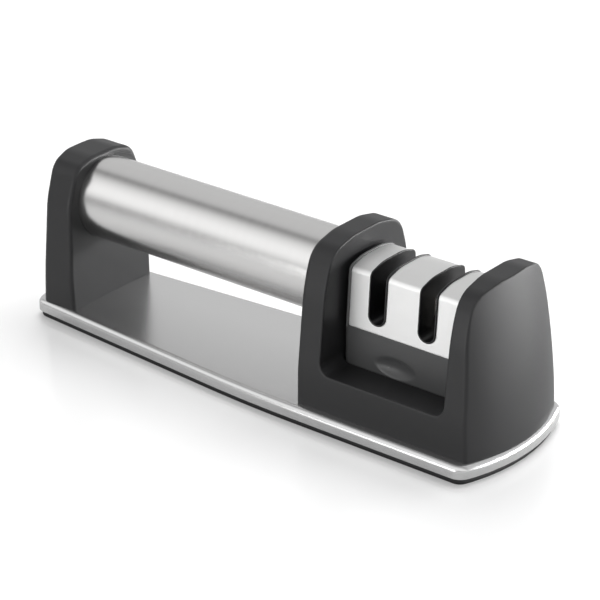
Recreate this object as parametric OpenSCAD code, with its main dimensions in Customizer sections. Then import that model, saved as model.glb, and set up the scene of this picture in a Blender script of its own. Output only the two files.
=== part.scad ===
// Two-stage pull-through knife sharpener: a steel handle tube between a rear post and a
// U-shaped head, on a tapered steel base with a rubber pad. A lift-out cartridge in the
// head holds crossed carbide blades (coarse slot) and crossed ceramic rods (fine slot).
// X runs along the handle towards the head, Y to the back, Z up. The origin is at the
// middle of the base, on the underside of the rubber.

/* [Base] */
// Ledge of steel beyond the end of the head
head_end_ledge = 0.9; // [0.3:0.1:4]
// Ledge of steel beyond the end of the post
post_end_ledge = 3.2; // [2:0.2:12]
// Ledge of steel along each side of the head
head_side_ledge = 3.5; // [2.4:0.1:6]
// Ledge of steel at each rear corner of the base
post_side_ledge = 0.4; // [0.2:0.1:4]
// Length behind the head over which the base keeps its full width
base_straight = 18.1; // [2:0.5:30]
// Plan radius of the base's bowed ends
base_bow_r = 68; // [50:0.5:90]
// Plan radius of the base's corners
base_corner_r = 5; // [2.6:0.1:5]
// Height of the steel edge
plate_h = 4.5; // [4.2:0.1:7]
// Thickness of the steel sheet
plate_t = 0.8; // [0.5:0.1:1]
// Radius of the steel's rolled top edge
plate_edge_r = 2; // [1.5:0.1:2.3]
// Thickness of the rubber pad
pad_t = 2.3; // [1.5:0.1:4]
// How far the rubber stands back under the steel
pad_inset = 1; // [0.5:0.1:2]

/* [Handle] */
// Outside diameter of the steel tube
tube_d = 29; // [25:0.5:30]
// Wall of the steel tube
tube_t = 0.8; // [0.5:0.1:1.5]
// Length of grip between post and head, at their feet
grip_len = 102.2; // [90:0.2:125]
// Height of the finger gap between base and tube
finger_gap = 21.9; // [18:0.5:28]
// Depth to which each end of the tube is seated
tube_seat = 4; // [3:0.2:4.4]
// Length of the plug in each end of the tube
plug_len = 12; // [8:1:20]
// Side of the square key that stops the tube from turning
key_side = 10; // [7:0.5:14]
// Depth of the key's pocket
key_depth = 2.2; // [1.5:0.1:2.4]

/* [Rear post] */
// Width of the post's foot
post_w = 40.4; // [38:0.2:46]
// Length of the post's foot over its bowed end
post_len = 17.7; // [16.5:0.1:22]
// Height of the post above the tube
post_crown = 1.8; // [1.4:0.1:4]
// Plan radius of the post's bowed end
post_bow_r = 56; // [50:1:90]
// Lean of the post's bowed end, in degrees
post_bow_lean = 3.2; // [0:0.1:4]
// Lean of the post's face to the handle, in degrees
post_lean = 2; // [0:0.5:3]

/* [Head] */
// Width of the head's foot
head_w = 50.4; // [50:0.2:58]
// Thickness of the cheek that carries the tube
tube_cheek = 9.2; // [8.4:0.1:11]
// Length of the window for the cartridge
window_len = 48.4; // [48:0.2:56]
// Thickness of the outer cheek over its bowed face
outer_cheek = 15; // [14:0.2:20]
// Height of the head above the tube
head_crown = 4.4; // [2.6:0.1:6]
// Height of the window's sill above the steel
sill_h = 12.8; // [12.4:0.2:16]
// Corner radius of the window, seen from the front
window_r = 4; // [2:0.5:6]
// Plan radius of the head's bowed end
head_bow_r = 56; // [50:1:90]
// Lean of the head's bowed end at its foot, in degrees
head_lean = 2.15; // [0:0.05:3]
// Radius of the head's bowed end, seen from the front
head_rise_r = 336; // [280:2:800]
// Wall of the moulded shells
shell_t = 2.4; // [1.8:0.1:2.6]

/* [Cartridge] */
// Depth of the carrier from front to back
carrier_d = 25.2; // [24.4:0.2:27]
// Wall of the carrier
carrier_t = 2; // [1.4:0.1:2.1]
// Depth to which the carrier sits in its well
well_depth = 7.6; // [6.4:0.2:7.8]
// Play between the carrier and its well
well_play = 0.3; // [0.2:0.05:0.5]
// Gap between each end of the steel cover and the window
cover_end_gap = 2.6; // [1.7:0.1:3.2]
// Thickness of the steel cover
cover_t = 0.7; // [0.5:0.05:0.9]
// How far the cover stands proud of the carrier's face
cover_proud = 0.3; // [0.2:0.1:1]
// Height of the cover's lower edge above the sill
cover_foot = 13.7; // [11:0.1:14.5]
// Height of the cover's crown above the sill
cover_top = 35.4; // [35:0.1:37]
// How far the cover's faces lean back at the shoulder
cover_lean = 1.4; // [0:0.1:1.8]
// Drop from the cover's crown to its shoulder
crown_drop = 1.8; // [1:0.1:3]
// Width of the flat of the crown
crown_flat = 11; // [6:0.5:14]
// Width of the carrier's rims at the ends of the cover
end_rim_w = 0.9; // [0.6:0.1:1.2]
// Half length of the thumb hollow
thumb_half_len = 7.8; // [5:0.2:10]
// Half height of the thumb hollow
thumb_half_h = 3.4; // [2:0.1:3.6]
// Depth of the thumb hollow
thumb_depth = 1.4; // [0.8:0.1:1.6]
// Height of the thumb hollow's middle above the sill
thumb_z = 3.8; // [3.6:0.1:7]
// How far the thumb hollows stand off the carrier's middle, towards the handle
thumb_shift = 3.2; // [0:0.1:6]
// Thickness of the plate that closes the carrier
bottom_t = 2.6; // [2.2:0.1:3]

/* [Slots] */
// How much closer together the slots stand than the middles of the carrier's two halves
slot_draw = 2.5; // [1.9:0.1:3.1]
// How far the slots stand off the carrier's middle, towards the handle
slot_shift = 1; // [0:0.1:1.2]
// Width of a slot in the cover
slot_w = 6.9; // [6:0.1:7.2]
// Height of the slots' round lower end above the sill
slot_floor = 16.5; // [15.5:0.1:18]
// Wall of the slot guides
guide_t = 0.6; // [0.4:0.05:0.9]
// How far the rims of the guides and the carrier stand proud of the cover
rim_proud = 0.4; // [0.2:0.05:0.8]

/* [Abrasives] */
// Height above the sill at which the abrasives cross
cross_h = 21.4; // [20.4:0.1:22.4]
// Lean of the carbide blades, in degrees
blade_lean = 20; // [16:0.5:22]
// Thickness of a carbide blade
blade_t = 1.6; // [1.2:0.1:2]
// Width of a carbide blade
blade_w = 5; // [4:0.1:5.4]
// Length of a carbide blade
blade_len = 20.5; // [18.5:0.5:22]
// Lean of the ceramic rods, in degrees
rod_lean = 20; // [17:0.5:22]
// Diameter of a ceramic rod
rod_d = 3.6; // [3:0.1:3.8]
// Length of a ceramic rod
rod_len = 22; // [20:0.5:24]

/* [Hidden] */
$fn = 96;
// Clearance of parts that slide together, gap of parts that are bonded, overrun of a cut
fit = 0.05;
bond = 0.1;
over = 1;
least_r = 0.05;
// Steps of a bow, of a rounded corner, of the rolled edge and of the head's bowed end
bow_steps = 10;
corner_steps = 6;
roll_steps = 5;
rise_steps = 8;

// Heights above the steel
tube_r = tube_d / 2;
tube_bore_r = tube_r - tube_t;
axis_h = finger_gap + tube_r;
post_h = axis_h + tube_r + post_crown;
head_h = axis_h + tube_r + head_crown;
// Solid plastic between the hollow of the post's foot and the tube
hollow_roof = 4.9;
post_hollow_h = finger_gap - hollow_roof;
head_hollow_h = sill_h - shell_t;
// Heights above the table
base_top = pad_t + plate_h;
sill_z = base_top + sill_h;

// Places along the handle
head_len = tube_cheek + window_len + outer_cheek;
base_len = head_end_ledge + head_len + grip_len + post_len + post_end_ledge;
head_x = base_len / 2 - head_end_ledge - head_len;
post_x = head_x - grip_len;
cart_x = head_x + tube_cheek + window_len / 2;
// Where the leaning post meets the tube, from its foot
post_face = axis_h * tan(post_lean);
tube_x = post_x - post_face - tube_seat;
tube_len = head_x + tube_seat - tube_x;

// Base
base_w = head_w + 2 * head_side_ledge;
base_rear_w = post_w + 2 * post_side_ledge;
taper_r = 500;
pad_chamfer = 0.4;
pocket_count = 5;
pocket_w = 30;
pocket_depth = 2.4;
pocket_rib = 2.4;
pocket_margin = 6;
pocket_pitch = (grip_len - 2 * pocket_margin) / pocket_count;

// Half outlines of head and post from the side, as shares of half width and height,
// and the radius of each corner
head_outline_shares = [[1, 0], [1, 0.21], [0.88, 0.74], [0.714, 0.954], [0.27, 1]];
head_outline_r = [0, 80, 55, 9.5, 20];
post_outline_shares = [[1, 0], [1.015, 0.24], [0.935, 0.728], [0.703, 0.959], [0.3, 1]];
post_outline_r = [0, 80, 20, 7, 14];
// Walls of the well under the window
tray_t = 2;

// Carrier and cover
carrier_len = window_len - 2 * well_play;
carrier_edge_r = 2;
cavity_len = carrier_len - 2 * carrier_t;
cavity_d = carrier_d - 2 * carrier_t;
cover_len = window_len - 2 * cover_end_gap;
cover_half_d = carrier_d / 2 + cover_proud;
cover_shoulder = cover_top - crown_drop;
shoulder_r = 2;
crown_r = 18;
// The carrier's block under the cover, over its two end rims
upper_len = cover_len + 2 * (fit + end_rim_w);
upper_inset = cover_t + fit;
holder_floor = bottom_t - well_depth;

// Slots, and holders of the abrasives
slot_pitch = cavity_len / 2 - slot_draw;
holder_room = 5.3;
holder_w = cavity_len / 2 - holder_room;
holder_d = 10;
crown_gap = 0.4;
holder_top = cover_top - upper_inset - carrier_t - crown_gap;
window_play = 0.2;
blade_low = 13;
rod_low = 10;
rod_r = rod_d / 2;
rod_gap = 0.4;
rod_y = rod_r + rod_gap;
rod_z = cross_h - rod_r / sin(rod_lean);
blade_top = cross_h + (blade_len - blade_low) * cos(blade_lean);
rod_top = rod_z + (rod_len - rod_low) * cos(rod_lean) + rod_r * sin(rod_lean);

// Screws of the base, with their washers, holes and bosses
screw_r = 1.5;
screw_len = 11.5;
screw_head_r = 3;
screw_head_h = 1.9;
screw_tip_gap = 0.3;
washer_r = 3.2;
washer_t = 0.5;
washer_hole_r = 1.6;
hole_r = 1.7;
sink_r = 3.4;
sink_h = 2.5;
screw_z = pad_t + sink_h - washer_t;
boss_r = 3.6;
head_screw_y = 19;
head_screw_inset = 4;
post_screw_y = 10;
post_screw_x = 8.2;
head_screws_at = [for (x = [tube_cheek + head_screw_inset, tube_cheek + window_len - head_screw_inset],
    y = [-head_screw_y, head_screw_y]) [x, y]];
post_screws_at = [for (y = [-post_screw_y, post_screw_y]) [-post_screw_x, y]];

// Screws of the cartridge
small_r = 1.25;
small_len = 8.5;
small_head_r = 2.1;
small_head_h = 1.2;
small_sink_h = 1.4;
small_boss_r = 2.7;
small_inset = 2.5;
small_tip_gap = 0.3;
drive_share = 0.6;
clamp_screw_x = 3.4;
clamp_screw_z = 1;
cartridge_screws_at = [for (x = [-1, 1], y = [-1, 1])
    [x * (cavity_len / 2 - small_inset), y * (cavity_d / 2 - small_inset)]];

// An outline is a closed path of corners [x, y, radius], anticlockwise

function xy(p) = [p[0], p[1]];
function unit(v) = v / norm(v);
function outward(p, q) = let (e = unit(q - p)) [e[1], -e[0]];

// 1 where the path turns left at q, -1 where it turns right
function bend(p, q, s) = sign((q - p)[0] * (s - q)[1] - (q - p)[1] * (s - q)[0]);

// The path with every side moved out by d
function grown(path, d) = let (n = len(path)) [
    for (i = [0:n - 1])
        let (p = xy(path[(i + n - 1) % n]), q = xy(path[i]), s = xy(path[(i + 1) % n]), r = path[i][2])
        let (a = outward(p, q), b = outward(q, s))
        let (m = q + d * (a + b) / (1 + a * b))
        [m[0], m[1], r == 0 ? 0 : max(r + bend(p, q, s) * d, least_r)]
];

// The points that round the corner q, between p and s, to radius r
function corner(p, q, s, r) = r == 0 ? [q] :
    let (u = unit(p - q), v = unit(s - q))
    let (half = acos(u * v) / 2)
    let (c = q + unit(u + v) * r / sin(half))
    let (t = q + u * r / tan(half) - c)
    let (start = atan2(t[1], t[0]), turn = bend(p, q, s) * (180 - 2 * half))
    [for (k = [0:corner_steps]) let (a = start + turn * k / corner_steps) c + r * [cos(a), sin(a)]];

// Length that the rounding of corner i takes from the sides beside it
function reach(path, i) =
    let (n = len(path), q = xy(path[i % n]))
    let (u = unit(xy(path[(i + n - 1) % n]) - q), v = unit(xy(path[(i + 1) % n]) - q))
    path[i % n][2] / tan(acos(u * v) / 2);

// The share of its radius for which corner i has room on the sides beside it
function room_share(path, i) =
    let (n = len(path), own = reach(path, i), q = xy(path[i]))
    let (before = norm(xy(path[(i + n - 1) % n]) - q), after = norm(xy(path[(i + 1) % n]) - q))
    own == 0 ? 1 : min(1, before / (reach(path, i + n - 1) + own), after / (own + reach(path, i + 1)));

// The points of a path, its corners rounded
function rounded(path) = let (n = len(path)) [
    for (i = [0:n - 1])
        let (r = path[i][2] * room_share(path, i))
        each corner(xy(path[(i + n - 1) % n]), xy(path[i]), xy(path[(i + 1) % n]), r)
];

// A half outline of corners going up, and its mirror image coming down
function both_sides(half) = concat(half, [
    for (i = [len(half) - 1:-1:0]) [-half[i][0], half[i][1], half[i][2]]
]);

// Outline of a housing from the side, its foot lengthened by drop
function side_outline(shares, radii, w, h, drop) = both_sides([
    for (i = [0:len(shares) - 1])
        [shares[i][0] * w / 2, i == 0 ? -drop : shares[i][1] * h, radii[i]]
]);

// Outline of the cover from the side, its faces lengthened by drop
function cover_outline(drop) = both_sides([
    [cover_half_d + cover_lean * drop / (cover_shoulder - cover_foot), cover_foot - drop, 0],
    [cover_half_d - cover_lean, cover_shoulder, shoulder_r],
    [crown_flat / 2, cover_top, crown_r]
]);

// Inner points of a bow about [x, 0] that faces the angle at
function bow(x, r, half_w, at) = let (spread = asin(half_w / r)) [
    for (k = [1:bow_steps - 1])
        let (a = at + spread * (2 * k / bow_steps - 1)) [x + r * cos(a), r * sin(a), 0]
];

// Outline of the base in plan
function base_outline() =
    let (head_c = base_len / 2 - base_bow_r, head_half = base_w / 2, rear_half = base_rear_w / 2)
    let (head_corner = head_c + sqrt(pow(base_bow_r, 2) - pow(head_half, 2)))
    let (rear_corner = -head_c - sqrt(pow(base_bow_r, 2) - pow(rear_half, 2)))
    let (taper_x = head_x - base_straight)
    concat(
        [[head_corner, -head_half, base_corner_r]],
        bow(head_c, base_bow_r, head_half, 0),
        [[head_corner, head_half, base_corner_r], [taper_x, head_half, taper_r]],
        [[rear_corner, rear_half, base_corner_r]],
        bow(-head_c, base_bow_r, rear_half, 180),
        [[rear_corner, -rear_half, base_corner_r], [taper_x, -head_half, taper_r]]
    );

function base_points(d) = rounded(grown(base_outline(), d));

// Solid through a stack of levels [height, points], all with as many points
module loft(levels) {
    n = len(levels[0][1]);
    points = [for (level = levels) each [for (p = level[1]) [p[0], p[1], level[0]]]];
    sides = [
        for (j = [0:len(levels) - 2], i = [0:n - 1])
            let (a = j * n + i, b = j * n + (i + 1) % n)
            each [[a, a + n, b], [b, a + n, b + n]]
    ];
    bottom = [for (i = [0:n - 1]) i];
    top = [for (i = [0:n - 1]) len(points) - 1 - i];
    polyhedron(points, concat([bottom], sides, [top]));
}

// An outline in Y and Z, extruded along X from x = 0
module along_x(path, length) rotate([90, 0, 90]) linear_extrude(length) polygon(rounded(path));

// An outline in X and Z, extruded along Y both ways from y = 0
module along_y(path, length) rotate([90, 0, 0]) linear_extrude(length, center = true) polygon(rounded(path));

module box(size) translate([-size[0] / 2, -size[1] / 2, 0]) cube(size);

module at_post() translate([post_x, 0, base_top]) children();
module at_head() translate([head_x, 0, base_top]) children();
module at_cartridge() translate([cart_x, 0, sill_z]) children();
module at_slot(side) at_cartridge() translate([side * slot_pitch / 2 - slot_shift, 0, 0]) children();
module at_each(places) for (p = places) translate([p[0], p[1], 0]) children();

// A pan-head screw that points up, its head below z = 0, with a cross recess
module screw(r, length, head_r, head_h) {
    difference() {
        translate([0, 0, -head_h]) cylinder(r = head_r, h = head_h);
        for (turn = [0, 90])
            rotate(turn) translate([0, 0, -head_h - over])
                box([2 * drive_share * head_r, r / 2, over + drive_share * head_h]);
    }
    cylinder(r = r, h = length);
}

module small_screw() screw(small_r, small_len, small_head_r, small_head_h);

// Base

// The steel pan's outer form, every face moved out by d
module pan_form(d) {
    roll_r = plate_edge_r + d;
    roll = [
        for (k = [0:roll_steps])
            let (a = 90 * k / roll_steps)
            [base_top - plate_edge_r + roll_r * sin(a), base_points(d - roll_r * (1 - cos(a)))]
    ];
    loft(concat([[pad_t, base_points(d)]], roll));
}

module base_screw_holes(r, from, to) {
    translate([head_x, 0, from]) at_each(head_screws_at) cylinder(r = r, h = to - from);
    translate([post_x, 0, from]) at_each(post_screws_at) cylinder(r = r, h = to - from);
}

module base_pad() color("#1d1d1e")
    loft([
        [0, base_points(-pad_inset - pad_chamfer)],
        [pad_chamfer, base_points(-pad_inset)],
        [pad_t, base_points(-pad_inset)]
    ]);

module base_core() color("#3a3a3c")
    difference() {
        pan_form(-plate_t - bond);
        base_screw_holes(hole_r, pad_t - over, base_top);
        base_screw_holes(sink_r, pad_t - over, pad_t + sink_h);
        for (i = [0:pocket_count - 1])
            translate([post_x + pocket_margin + (i + 1 / 2) * pocket_pitch, 0, pad_t - over])
                box([pocket_pitch - pocket_rib, pocket_w, over + pocket_depth]);
    }

module base_plate() color("#c4c4c3")
    difference() {
        pan_form(0);
        pan_form(-plate_t);
        translate([0, 0, pad_t - over]) linear_extrude(over) polygon(base_points(-plate_t));
        base_screw_holes(hole_r, base_top - plate_t - over, base_top + over);
    }

module post_screws() color("#b5b6b8")
    translate([post_x, 0, screw_z]) at_each(post_screws_at)
        screw(screw_r, screw_len, screw_head_r, screw_head_h);

module head_screws() color("#b5b6b8")
    translate([head_x, 0, screw_z]) at_each(head_screws_at)
        screw(screw_r, screw_len, screw_head_r, screw_head_h);

module screw_washers() color("#9d9ea0")
    difference() {
        base_screw_holes(washer_r, screw_z, screw_z + washer_t);
        base_screw_holes(washer_hole_r, screw_z - over, screw_z + washer_t + over);
    }

// Rear post, from the foot of the face that meets the handle

module post_form(d, drop) {
    reach = post_h + over;
    intersection() {
        translate([-post_len - d, 0, 0])
            along_x(grown(side_outline(post_outline_shares, post_outline_r, post_w, post_h, drop), d),
                post_len + 2 * d);
        translate([post_bow_r - post_len, 0, 0]) rotate([0, post_bow_lean, 0])
            cylinder(r = post_bow_r + d, h = 2 * reach, center = true, $fn = 360);
        rotate([0, -post_lean, 0]) translate([d - 2 * post_len, -post_w, -reach])
            cube([2 * post_len, 2 * post_w, 2 * reach]);
    }
}

// Seat of one end of the tube, its mouth at x = 0, facing +X
module tube_socket() {
    translate([-tube_seat, 0, 0]) rotate([0, 90, 0]) cylinder(r = tube_r + fit, h = tube_seat + over);
    translate([-tube_seat - key_depth, -key_side / 2 - bond, -key_side / 2 - bond])
        cube([key_depth + over, key_side + 2 * bond, key_side + 2 * bond]);
}

// Bore for a base screw, in a housing that stands on the steel
module pilot_bore() translate([0, 0, -over])
    cylinder(r = screw_r + fit, h = over + screw_z + screw_len + screw_tip_gap - base_top);

module rear_post() color("#3b3b3d") at_post()
    difference() {
        post_form(0, 0);
        difference() {
            intersection() {
                post_form(-shell_t, shell_t + over);
                translate([-post_len, 0, -over]) box([2 * post_len, post_w, over + post_hollow_h]);
            }
            at_each(post_screws_at) cylinder(r = boss_r, h = post_hollow_h + over);
        }
        translate([-post_face, 0, axis_h]) tube_socket();
        at_each(post_screws_at) pilot_bore();
    }

// Head, from the foot of the face that meets the handle

// Profile of the bowed end about its upright axis, from below the foot to above the top
function rise_points(d) =
    let (r = head_rise_r + d)
    let (mid = [head_bow_r - head_rise_r * cos(head_lean), -head_rise_r * sin(head_lean)])
    let (low = asin((-2 * over - mid[1]) / r), high = asin((head_h + over - mid[1]) / r))
    let (step = (high - low) / rise_steps)
    let (arc = [for (k = [0:rise_steps]) let (a = low + k * step) mid + r * [cos(a), sin(a)]])
    concat([[0, arc[0][1]]], arc, [[0, arc[rise_steps][1]]]);

module head_form(d, drop) {
    intersection() {
        translate([-d, 0, 0])
            along_x(grown(side_outline(head_outline_shares, head_outline_r, head_w, head_h, drop), d),
                head_len + 2 * d);
        translate([head_len - head_bow_r, 0, 0]) rotate_extrude($fn = 360) polygon(rise_points(d));
    }
}

module head_hollow() {
    cheek_x = tube_cheek + window_len;
    difference() {
        intersection() {
            head_form(-shell_t, shell_t + over);
            translate([head_len / 2, 0, -over]) box([2 * head_len, head_w, over + head_hollow_h]);
        }
        translate([tube_cheek + window_len / 2, 0, sill_h - well_depth - tray_t])
            box([window_len + 2 * tray_t, carrier_d + 2 * (well_play + tray_t), sill_h]);
        at_each(head_screws_at) cylinder(r = boss_r, h = sill_h);
    }
    intersection() {
        head_form(-shell_t, shell_t + over);
        translate([cheek_x + shell_t, -head_w / 2, -over]) cube([outer_cheek, head_w, head_h + 2 * over]);
    }
}

module head_housing() color("#3b3b3d") at_head()
    difference() {
        head_form(0, 0);
        head_hollow();
        translate([tube_cheek, 0, sill_h])
            along_y([[0, 0, window_r], [window_len, 0, window_r], [window_len, head_h, 0], [0, head_h, 0]],
                head_w + 2 * over);
        translate([tube_cheek + window_len / 2, 0, sill_h - well_depth])
            box([window_len, carrier_d + 2 * well_play, head_h]);
        translate([0, 0, axis_h]) rotate(180) tube_socket();
        at_each(head_screws_at) pilot_bore();
    }

// Handle

module handle_tube() color("#c9c9c9")
    translate([tube_x, 0, base_top + axis_h]) rotate([0, 90, 0])
        difference() {
            cylinder(r = tube_r, h = tube_len);
            translate([0, 0, -over]) cylinder(r = tube_bore_r, h = tube_len + 2 * over);
        }

// Plug of the tube, its outer end at x = 0 and its key beyond
module tube_plug() {
    key_len = key_depth - bond;
    rotate([0, -90, 0]) cylinder(r = tube_bore_r - fit, h = plug_len);
    translate([-over, -key_side / 2, -key_side / 2]) cube([key_len + over, key_side, key_side]);
}

module head_tube_plug() color("#4a4a4c")
    translate([head_x + tube_seat, 0, base_top + axis_h]) tube_plug();

module rear_tube_plug() color("#4a4a4c")
    translate([tube_x, 0, base_top + axis_h]) rotate(180) tube_plug();

// Cartridge, from the middle of the sill

// A slot seen from the front, cut through from front to back
module slot_form(w, floor) rotate([90, 0, 0]) linear_extrude(2 * head_w, center = true) {
    translate([0, floor + w / 2]) circle(d = w);
    translate([-w / 2, floor + w / 2]) square([w, cover_top]);
}

// Room for a slot's guide
module guide_room() slot_form(slot_w + 2 * fit, slot_floor - fit);

module both_guide_rooms() for (side = [-1, 1])
    translate([side * slot_pitch / 2 - slot_shift, 0, 0]) guide_room();

// Hollow for a thumb in the face at y = 0, a shallow oval
module thumb_hollow() {
    sum = pow(thumb_half_h, 2) / thumb_depth;
    mid_r = (sum + thumb_depth) / 2;
    sweep_r = (pow(thumb_half_len, 2) + pow(thumb_depth, 2)) / (2 * thumb_depth);
    translate([0, -(sum - thumb_depth) / 2, 0]) rotate([0, 90, 0]) rotate_extrude()
        intersection() {
            translate([mid_r - sweep_r, 0]) circle(r = sweep_r, $fn = 360);
            translate([0, -thumb_half_len]) square([mid_r, 2 * thumb_half_len]);
        }
}

module cartridge_carrier() color("#454647") at_cartridge()
    difference() {
        union() {
            difference() {
                union() {
                    translate([0, 0, -well_depth]) linear_extrude(well_depth + cover_foot)
                        polygon(rounded([for (c = [[-1, -1], [1, -1], [1, 1], [-1, 1]])
                            [c[0] * carrier_len / 2, c[1] * carrier_d / 2, carrier_edge_r]]));
                    translate([-upper_len / 2, 0, 0])
                        along_x(grown(cover_outline(upper_inset + over), -upper_inset), upper_len);
                    for (x = [-upper_len / 2, upper_len / 2 - end_rim_w])
                        translate([x, 0, 0]) along_x(grown(cover_outline(0), rim_proud), end_rim_w);
                }
                translate([0, 0, -well_depth - over])
                    box([cavity_len, cavity_d, over + well_depth + cover_foot - carrier_t]);
                translate([carrier_t - upper_len / 2, 0, 0])
                    along_x(grown(cover_outline(cover_foot), -upper_inset - carrier_t),
                        upper_len - 2 * carrier_t);
            }
            translate([0, 0, holder_floor]) at_each(cartridge_screws_at)
                cylinder(r = small_boss_r, h = cover_foot - carrier_t - holder_floor);
        }
        both_guide_rooms();
        for (side = [0, 180])
            translate([-thumb_shift, 0, thumb_z])
                rotate(side) translate([0, -carrier_d / 2, 0]) thumb_hollow();
        translate([0, 0, holder_floor - over]) at_each(cartridge_screws_at)
            cylinder(r = small_r + fit, h = over + small_len + small_tip_gap - (bottom_t - small_sink_h));
    }

module cartridge_cover() color("#cbcbca") at_cartridge()
    difference() {
        translate([-cover_len / 2, 0, 0]) along_x(cover_outline(0), cover_len);
        translate([-cover_len / 2 - over, 0, 0])
            along_x(grown(cover_outline(cover_t + over), -cover_t), cover_len + 2 * over);
        both_guide_rooms();
    }

module cartridge_bottom() color("#3a3a3c") at_cartridge() translate([0, 0, -well_depth])
    difference() {
        box([cavity_len - 2 * bond, cavity_d - 2 * bond, bottom_t]);
        translate([0, 0, -over]) at_each(cartridge_screws_at) {
            cylinder(r = small_r + bond, h = bottom_t + 2 * over);
            cylinder(r = small_head_r + bond, h = over + small_sink_h);
        }
    }

module cartridge_screws() color("#b5b6b8") at_cartridge()
    translate([0, 0, small_sink_h - well_depth]) at_each(cartridge_screws_at) small_screw();

// Guide of a slot, a trough open in the middle for abrasives of the given depth, up to top
module slot_guide(window_d, top) {
    difference() {
        intersection() {
            difference() {
                slot_form(slot_w, slot_floor);
                slot_form(slot_w - 2 * guide_t, slot_floor + guide_t);
            }
            translate([-slot_w, 0, 0]) along_x(grown(cover_outline(0), rim_proud), 2 * slot_w);
        }
        translate([0, 0, slot_floor - over])
            box([2 * slot_w, window_d, over + top + window_play - slot_floor]);
    }
}

module coarse_slot_guide() color("#1b1b1c") at_slot(-1)
    slot_guide(2 * (blade_t + 2 * fit + window_play), blade_top);

module fine_slot_guide() color("#1b1b1c") at_slot(1)
    slot_guide(2 * (rod_y + rod_r + fit + window_play), rod_top);

// One carbide blade, leaning to the side and lying from y = 0 to the back, larger by play
module blade_form(side, play) translate([0, 0, cross_h]) rotate([0, side * blade_lean, 0])
    translate([side > 0 ? -play : -blade_w - play, -play, -blade_low - play])
        cube([blade_w + 2 * play, blade_t + 2 * play, blade_len + 2 * play]);

// Half of the blades' holder, from y = 0 to the back, for the blade that leans to the side
module holder_half(side) {
    difference() {
        translate([-holder_w / 2, 0, holder_floor]) cube([holder_w, holder_d / 2, holder_top - holder_floor]);
        guide_room();
        translate([0, fit, 0]) blade_form(side, fit);
    }
}

// Bores of the clamp's screws along Y
module clamp_bores(r, from, to) for (x = [-clamp_screw_x, clamp_screw_x])
    translate([x, from, clamp_screw_z]) rotate([-90, 0, 0]) cylinder(r = r, h = to - from);

module blade_holder() color("#2b2b2d") at_slot(-1)
    difference() {
        holder_half(1);
        clamp_bores(small_r + fit, -over, small_len + small_tip_gap - holder_d / 2);
    }

module blade_clamp() color("#2b2b2d") at_slot(-1)
    difference() {
        rotate(180) holder_half(1);
        clamp_bores(small_r + bond, -holder_d, over);
    }

module rear_carbide_blade() color("#77797c") at_slot(-1) translate([0, fit, 0]) blade_form(1, 0);

module front_carbide_blade() color("#77797c") at_slot(-1) rotate(180) translate([0, fit, 0]) blade_form(1, 0);

module clamp_screws() color("#b5b6b8") at_slot(-1)
    for (x = [-clamp_screw_x, clamp_screw_x])
        translate([x, -holder_d / 2, clamp_screw_z]) rotate([-90, 0, 0]) small_screw();

// One ceramic rod or its bore, leaning to the right, at the back
module rod_form(play, length) translate([0, rod_y, rod_z]) rotate([0, rod_lean, 0])
    translate([0, 0, -rod_low - play]) cylinder(r = rod_r + play, h = length);

module rod_holder() color("#2b2b2d") at_slot(1)
    difference() {
        translate([0, 0, holder_floor]) box([holder_w, holder_d, holder_top - holder_floor]);
        guide_room();
        for (side = [0, 180]) rotate(side) rod_form(fit, 2 * rod_len);
    }

module rear_ceramic_rod() color("#f1efe9") at_slot(1) rod_form(0, rod_len);

module front_ceramic_rod() color("#f1efe9") at_slot(1) rotate(180) rod_form(0, rod_len);

base_pad();
base_core();
base_plate();
rear_post();
head_housing();
handle_tube();
rear_tube_plug();
head_tube_plug();
post_screws();
head_screws();
screw_washers();
cartridge_carrier();
cartridge_cover();
cartridge_bottom();
cartridge_screws();
coarse_slot_guide();
fine_slot_guide();
blade_holder();
blade_clamp();
rear_carbide_blade();
front_carbide_blade();
clamp_screws();
rod_holder();
rear_ceramic_rod();
front_ceramic_rod();
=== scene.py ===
"""A two-stage pull-through knife sharpener on a white studio floor.

The CAD frame gives every place and size. Lengths of the object are millimetres until a mesh is
made, and those of the studio are metres. The housings, carrier, cover and slot guides are
contoured from signed distances, so that their edges are softly rounded; the pan and its pad are
lofted, and the tube is turned.
"""
import math

import bmesh
import bpy
import numpy as np
from mathutils import Matrix, Vector


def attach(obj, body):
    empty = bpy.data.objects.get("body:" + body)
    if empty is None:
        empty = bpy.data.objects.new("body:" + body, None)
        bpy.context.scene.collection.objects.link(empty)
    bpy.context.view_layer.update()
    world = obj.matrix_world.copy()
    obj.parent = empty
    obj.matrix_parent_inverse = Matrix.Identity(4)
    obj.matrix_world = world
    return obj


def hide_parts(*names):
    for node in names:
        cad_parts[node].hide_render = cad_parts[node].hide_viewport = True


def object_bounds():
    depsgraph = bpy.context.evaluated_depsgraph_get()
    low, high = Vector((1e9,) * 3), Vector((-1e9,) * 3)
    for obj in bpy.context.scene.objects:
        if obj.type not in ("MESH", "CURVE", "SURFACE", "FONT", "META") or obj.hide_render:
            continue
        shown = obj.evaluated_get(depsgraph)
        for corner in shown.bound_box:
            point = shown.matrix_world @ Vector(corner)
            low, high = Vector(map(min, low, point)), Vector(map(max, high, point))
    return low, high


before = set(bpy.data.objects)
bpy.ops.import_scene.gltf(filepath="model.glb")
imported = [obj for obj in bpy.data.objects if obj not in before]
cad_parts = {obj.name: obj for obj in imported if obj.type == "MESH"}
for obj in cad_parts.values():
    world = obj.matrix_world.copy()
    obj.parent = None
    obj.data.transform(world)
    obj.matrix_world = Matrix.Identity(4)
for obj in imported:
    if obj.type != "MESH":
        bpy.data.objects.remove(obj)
cad_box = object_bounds()

MM = 0.001
BOX_MM = np.array(cad_box) / MM
FIT = 0.05
# A form that another one cuts off runs on by this much, and a housing below its foot by this
OVER = 1.0
FOOT_OVER = 3.0
# Less than this counts as nothing
TINY = 1e-9

# Base
PAD_T = 2.3
PAD_INSET = 1.0
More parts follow.
